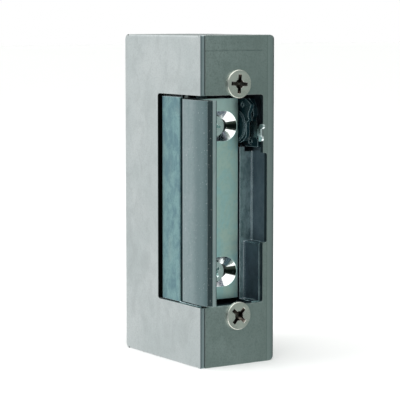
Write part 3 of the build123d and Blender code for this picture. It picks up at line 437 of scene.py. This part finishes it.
def dark_stem(s, color):
    """The slide is dark grey up to the window and keeps its plated tone at its finger teeth."""
    x, _, z = s.split(s.position)
    off_middle = s.math("ABSOLUTE", s.math("SUBTRACT", z, TAB_MIDDLE_Z))
    tooth_tone_from = s.ramp(off_middle, *TOOTH_HALF, *(SIDE_X - inset * MM for inset in TOOTH_TONE_FROM))
    dark = s.ramp(s.math("SUBTRACT", tooth_tone_from, x), 0.0, 0.2 * MM)
    return s.mix(dark, color, (0.17, 0.21, 0.22))


def moulded(name, tone, rough, edge_tone=None, waviness=0.0, edge_width=0.2 * MM, specular=0.5):
    """Injection-moulded plastic or rubber with a fine spark-eroded texture and painted highlights on its
    edges.
    """
    s = Shader(name)
    texture = s.noise(2600, 3.0, 0.6)
    clouds = s.noise(120, 3.0, 0.5)
    dark = tuple(channel * 0.78 for channel in tone)
    color = s.mix(s.ramp(clouds, 0.3, 0.7), dark, tone)
    # painted highlight: a lighter tone on the edges
    lit_edge = edge_tone or tuple(min(1.0, channel * 1.9 + 0.01) for channel in tone)
    color = s.mix(s.times(s.edge_highlights(edge_width), 0.8), color, lit_edge)
    waves = s.noise(260, 2.0, 0.5)
    return s.finish(color, s.ramp(texture, 0.2, 0.8, rough, rough + 0.18), 0.0,
                    ((texture, 0.25, 0.02 * MM), (waves, waviness, 0.4 * MM)), 0.2 * MM, specular)


def enamelled_copper(name):
    s = Shader(name)
    tone = s.noise(500, 3.0, 0.6)
    color = s.mix(s.ramp(tone, 0.3, 0.7), (0.42, 0.13, 0.05), (0.62, 0.25, 0.11))
    return s.finish(color, s.ramp(tone, 0.2, 0.8, 0.22, 0.36), 0.9, ((tone, 0.1, 0.02 * MM),))


def spring_wire(name):
    s = Shader(name)
    drawn = s.noise(1400, 2.0, 0.6)
    color = s.mix(s.ramp(drawn, 0.3, 0.7), (0.40, 0.41, 0.42), (0.58, 0.59, 0.60))
    return s.finish(color, s.ramp(drawn, 0.2, 0.8, 0.22, 0.38), 1.0, ((drawn, 0.1, 0.01 * MM),), 0.03 * MM)


NICKEL = (0.68, 0.68, 0.62)
COVER_LIGHT, COVER_DARK = (0.63, 0.675, 0.675), (0.555, 0.61, 0.61)
# the channel's tones are darker and greener than the cover's: partly its own finish, partly painted shade
# on the narrow side
CHANNEL_LIGHT, CHANNEL_DARK = (0.445, 0.52, 0.505), (0.355, 0.435, 0.415)


RECIPES = {
    "cover_sheet": (satin_stainless, COVER_LIGHT, COVER_DARK, 0.38, cover_edges_and_shade, 0.4),
    "channel_sheet": (satin_stainless, CHANNEL_LIGHT, CHANNEL_DARK, 0.40, channel_bend, 0.8),
    "passivated_zinc": (passivated_zinc,),
    "latch_steel": (latch_steel,),
    "nickel": (plated_steel, NICKEL, 0.24),
    "fixing_nickel": (plated_steel, NICKEL, 0.22, 260, shade_in_recess),
    "plated": (plated_steel, (0.52, 0.57, 0.57), 0.28),
    "screw_zinc": (plated_steel, (0.66, 0.78, 0.77), 0.20, 700),
    "tab_plated": (plated_steel, (0.78, 0.84, 0.86), 0.14, 300, dark_stem),
    "iron": (plated_steel, (0.40, 0.41, 0.41), 0.36, 90),
    "pin": (plated_steel, (0.62, 0.62, 0.61), 0.18),
    "brass": (plated_steel, (0.62, 0.48, 0.20), 0.26),
    # the edge tones given for the moulded parts are painted highlights
    "nylon": (moulded, (0.012, 0.016, 0.018), 0.30, (0.10, 0.13, 0.14)),
    "gloss_nylon": (moulded, (0.008, 0.032, 0.040), 0.14, (0.60, 0.80, 0.85), 0.25, 0.24 * MM, 0.24),
    "rubber": (moulded, (0.016, 0.016, 0.017), 0.62),
    "grey_nylon": (moulded, (0.36, 0.38, 0.38), 0.40),
    "insulation_red": (moulded, (0.40, 0.03, 0.02), 0.36),
    "enamelled_copper": (enamelled_copper,),
    "spring_wire": (spring_wire,),
}


def make_materials():
    """One material for each name used in SURFACES below."""
    return {name: maker(name, *settings) for name, (maker, *settings) in RECIPES.items()}


SURFACES = {
    "front_cover": "cover_sheet",
    "housing_channel": "channel_sheet",
    "cover_screws": "nickel",
    "fixing_screws": "fixing_nickel",
    "cable_grommet": "rubber",
    "strike_body": "passivated_zinc",
    "strike_lid": "plated",
    "lid_screws": "nickel",
    "keeper": "plated",
    "keeper_pin": "pin",
    "keeper_spring": "spring_wire",
    "latch": "latch_steel",
    "latch_screws": "screw_zinc",
    "pawl": "plated",
    "pawl_pin": "pin",
    "pawl_spring": "spring_wire",
    "armature": "iron",
    "armature_spring": "spring_wire",
    "coil_core": "iron",
    "coil_bobbin": "nylon",
    "coil_winding": "enamelled_copper",
    "coil_yoke": "iron",
    "yoke_screw": "nickel",
    "coil_cover": "gloss_nylon",
    "hold_open_slider": "tab_plated",
    "terminal_block": "grey_nylon",
    "terminal_clamps": "brass",
    "terminal_screws": "nickel",
    "coil_leads": "insulation_red",
    "suppressor_diode": "nylon",
}


def paint_nodes(materials):
    for node, surface in SURFACES.items():
        piece = NODES[node]
        piece.data.materials.clear()
        piece.data.materials.append(materials[surface])


# ---- wound pieces -------------------------------------------------------------------------------------
SPRINGS = (     # node, axis it is wound about (0 for X, 2 for Z), wire radius, turns
    ("keeper_spring", 2, 0.38 * MM, 11),
    ("pawl_spring", 0, 0.24 * MM, 3.5),
    ("armature_spring", 2, 0.13 * MM, 9),
)
POINTS_PER_TURN = 20
CLOSED_TURNS = 0.8          # turns at each end that lie flat
WIRE_FACETS = 2             # bevel resolution of the round wire
WINDING_PITCH = 0.32 * MM
WINDING_DEPTH = 1.1 * MM
WINDING_SIDES = 48
RIDGE_STEPS = 5


def add_piece(name, mesh, material, node):
    """A housing piece with this mesh in place of a CAD node."""
    mesh.materials.clear()
    mesh.materials.append(material)
    piece = bpy.data.objects.new(name, mesh)
    bpy.context.scene.collection.objects.link(piece)
    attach(piece, "housing")
    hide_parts(node)


def wire_mesh(name, points, radius):
    """A round wire along points, as a closed mesh."""
    curve = bpy.data.curves.new(name, "CURVE")
    curve.dimensions = "3D"
    curve.bevel_depth = radius
    curve.bevel_resolution = WIRE_FACETS
    curve.use_fill_caps = True
    spline = curve.splines.new("POLY")
    spline.points.add(len(points) - 1)
    for slot, point in zip(spline.points, points):
        slot.co = (*point, 1.0)
    holder = bpy.data.objects.new(name + "_path", curve)
    mesh = bpy.data.meshes.new_from_object(holder)
    bpy.data.objects.remove(holder)
    mesh.polygons.foreach_set("use_smooth", [True] * len(mesh.polygons))
    return mesh


def helix(node, axis, wire, turns):
    """Points of a helix with closed ends that fills a tubular CAD node."""
    low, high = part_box(node)
    centre = (low + high) / 2
    radial = 1 if axis == 0 else 0
    radius = (high[radial] - low[radial]) / 2 - wire
    start = low[axis] + wire
    length = high[axis] - low[axis] - 2 * wire
    points = []
    count = int(turns * POINTS_PER_TURN)
    for index in range(count + 1):
        risen = (index / count * (turns + 2 * CLOSED_TURNS) - CLOSED_TURNS) / turns
        level = start + length * min(1.0, max(0.0, risen))
        angle = 2 * math.pi * index / POINTS_PER_TURN
        across = radius * math.cos(angle)
        along = radius * math.sin(angle)
        if axis == 0:
            points.append(Vector((level, centre.y + across, centre.z + along)))
        else:
            points.append(Vector((centre.x + across, centre.y + along, level)))
    return points


def add_springs(materials):
    """The three springs as wound wire in place of their plain tubes."""
    for node, axis, wire, turns in SPRINGS:
        mesh = wire_mesh(node + "_wound", helix(node, axis, wire, turns), wire)
        add_piece(node + "_wound", mesh, materials["spring_wire"], node)


def ridged_profile(low, high):
    """Radius and level of the winding's section: a sleeve whose outside bulges at every turn."""
    outer = (high.x - low.x) / 2
    inner = outer - WINDING_DEPTH
    ridges = int((high.z - low.z) / WINDING_PITCH)
    profile = [(inner, low.z)]
    for step in range(ridges * RIDGE_STEPS):
        turn, part = divmod(step, RIDGE_STEPS)
        phase = part / RIDGE_STEPS
        bulge = math.sqrt(max(0.0, 1 - (2 * phase - 1) ** 2))
        level = low.z + (high.z - low.z) * (turn + phase) / ridges
        profile.append((outer - WINDING_PITCH / 2 * (1 - bulge), level))
    return profile + [(outer - WINDING_PITCH / 2, high.z), (inner, high.z)]


def add_winding(materials):
    """The coil's wire: a sleeve round the bobbin, turned from the ridged profile."""
    low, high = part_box("coil_winding")
    centre = (low + high) / 2
    profile = ridged_profile(low, high)
    count = len(profile)
    verts = []
    faces = []
    for side in range(WINDING_SIDES):
        angle = 2 * math.pi * side / WINDING_SIDES
        for radius, level in profile:
            verts.append((centre.x + radius * math.cos(angle), centre.y + radius * math.sin(angle), level))
        this, after = side * count, (side + 1) % WINDING_SIDES * count
        for index in range(count):
            above = (index + 1) % count
            faces.append((this + index, after + index, after + above, this + above))
    mesh = bpy.data.meshes.new("coil_winding_wound")
    mesh.from_pydata(verts, [], faces)
    add_piece("coil_winding_wound", mesh, materials["enamelled_copper"], "coil_winding")


# ---- studio -------------------------------------------------------------------------------------------
FLOOR_HALF = 6.0
FLOOR_WHITE = 0.93
RING = (        # azimuth in degrees (0 faces the broad front, 90 the narrow side) and colour
    (-180, (0.24, 0.29, 0.28)),
    (-160, (0.12, 0.15, 0.15)),
    (-145, (0.02, 0.03, 0.03)),
    (-115, (0.04, 0.05, 0.05)),
    (-95, (0.95, 0.95, 0.95)),
    (-45, (0.95, 0.955, 0.95)),
    (-12, (0.42, 0.47, 0.48)),
    (12, (0.10, 0.13, 0.14)),
    (62, (0.10, 0.13, 0.14)),
    (90, (0.24, 0.28, 0.27)),
    (120, (0.33, 0.39, 0.37)),
    (150, (0.30, 0.35, 0.34)),
)
LIFTED = (      # azimuth, and how far the bright parts above and below come towards the horizon
    (0, (0, 0, 0)),
    (20, (0, 0, 0)),
    (40, (1, 1, 1)),
    (85, (1, 1, 1)),
    (100, (0, 0, 0)),
)
LIFT = 0.36
STEEP = (0.50, 0.80)        # height of a direction over which the bright parts fade in
ABOVE = (1.5, 1.5, 1.48, 1.0)
SOFTBOXES = (               # name, place, side, power
    ("key", (-0.2, -0.9, 0.6), 0.5, 2.9),
    ("overhead", (0.1, -0.1, 0.9), 0.7, 1.2),
)


def add_floor():
    level = cad_box[0][2]
    mesh = bpy.data.meshes.new("floor")
    corners = [(x * FLOOR_HALF, y * FLOOR_HALF, level) for x, y in ((-1, -1), (1, -1), (1, 1), (-1, 1))]
    mesh.from_pydata(corners, [], [(0, 1, 2, 3)])
    floor = bpy.data.objects.new("floor", mesh)
    bpy.context.scene.collection.objects.link(floor)
    material = bpy.data.materials.new("floor_white")
    material.use_nodes = True
    surface = material.node_tree.nodes["Principled BSDF"]
    surface.inputs["Base Color"].default_value = (FLOOR_WHITE, FLOOR_WHITE, FLOOR_WHITE, 1.0)
    surface.inputs["Roughness"].default_value = 0.9
    surface.inputs["Specular IOR Level"].default_value = 0.1
    mesh.materials.append(material)
    floor.visible_glossy = False


def add_world():
    """A studio seen in the metal: bright to the left, above and below, dark towards the viewer."""
    world = bpy.data.worlds.new("studio")
    bpy.context.scene.world = world
    world.use_nodes = True
    tree = world.node_tree
    tree.nodes.clear()

    def node(kind, **settings):
        made = tree.nodes.new(kind)
        for key, value in settings.items():
            setattr(made, key, value)
        return made

    def link(source, target):
        tree.links.new(source, target)

    def around(stops):
        """A colour ramp round the azimuth, from stops in degrees."""
        made = node("ShaderNodeValToRGB")
        link(azimuth.outputs["Result"], made.inputs["Fac"])
        elements = made.color_ramp.elements
        while len(elements) < len(stops):
            elements.new(0.5)
        for element, (degrees, color) in zip(elements, stops):
            element.position = (degrees + 180) / 360
            element.color = (*color, 1.0)
        return made.outputs["Color"]

    coords = node("ShaderNodeTexCoord")
    split = node("ShaderNodeSeparateXYZ")
    link(coords.outputs["Generated"], split.inputs["Vector"])
    flipped = node("ShaderNodeMath", operation="MULTIPLY")
    flipped.inputs[1].default_value = -1.0
    link(split.outputs["Y"], flipped.inputs[0])
    angle = node("ShaderNodeMath", operation="ARCTAN2")
    link(split.outputs["X"], angle.inputs[0])
    link(flipped.outputs[0], angle.inputs[1])
    azimuth = node("ShaderNodeMapRange")
    azimuth.inputs["From Min"].default_value = -math.pi
    azimuth.inputs["From Max"].default_value = math.pi
    link(angle.outputs[0], azimuth.inputs["Value"])
    height = node("ShaderNodeMath", operation="ABSOLUTE")
    link(split.outputs["Z"], height.inputs[0])
    lift = node("ShaderNodeMath", operation="MULTIPLY_ADD")
    link(around(LIFTED), lift.inputs[0])
    lift.inputs[1].default_value = LIFT
    link(height.outputs[0], lift.inputs[2])
    steep = node("ShaderNodeMapRange", interpolation_type="SMOOTHSTEP")
    steep.inputs["From Min"].default_value, steep.inputs["From Max"].default_value = STEEP
    link(lift.outputs[0], steep.inputs["Value"])
    above = node("ShaderNodeMix", data_type="RGBA")
    link(steep.outputs["Result"], above.inputs["Factor"])
    link(around(RING), above.inputs["A"])
    above.inputs["B"].default_value = ABOVE
    seen = node("ShaderNodeLightPath")
    plain = node("ShaderNodeMix", data_type="RGBA")
    link(seen.outputs["Is Camera Ray"], plain.inputs["Factor"])
    link(above.outputs["Result"], plain.inputs["A"])
    plain.inputs["B"].default_value = (1.0, 1.0, 1.0, 1.0)
    background = node("ShaderNodeBackground")
    link(plain.outputs["Result"], background.inputs["Color"])
    output = node("ShaderNodeOutputWorld")
    link(background.outputs["Background"], output.inputs["Surface"])


def add_softbox(name, place, side, power):
    data = bpy.data.lights.new(name, "AREA")
    data.size = side
    data.energy = power
    lamp = bpy.data.objects.new(name, data)
    lamp.location = place
    lamp.rotation_euler = (-Vector(place)).to_track_quat("-Z", "Y").to_euler()
    bpy.context.scene.collection.objects.link(lamp)


def add_studio():
    add_floor()
    add_world()
    for softbox in SOFTBOXES:
        add_softbox(*softbox)
    bpy.context.scene.view_settings.view_transform = "Standard"


add_camera()
surfaces = make_materials()
paint_nodes(surfaces)
add_springs(surfaces)
add_winding(surfaces)
add_studio()
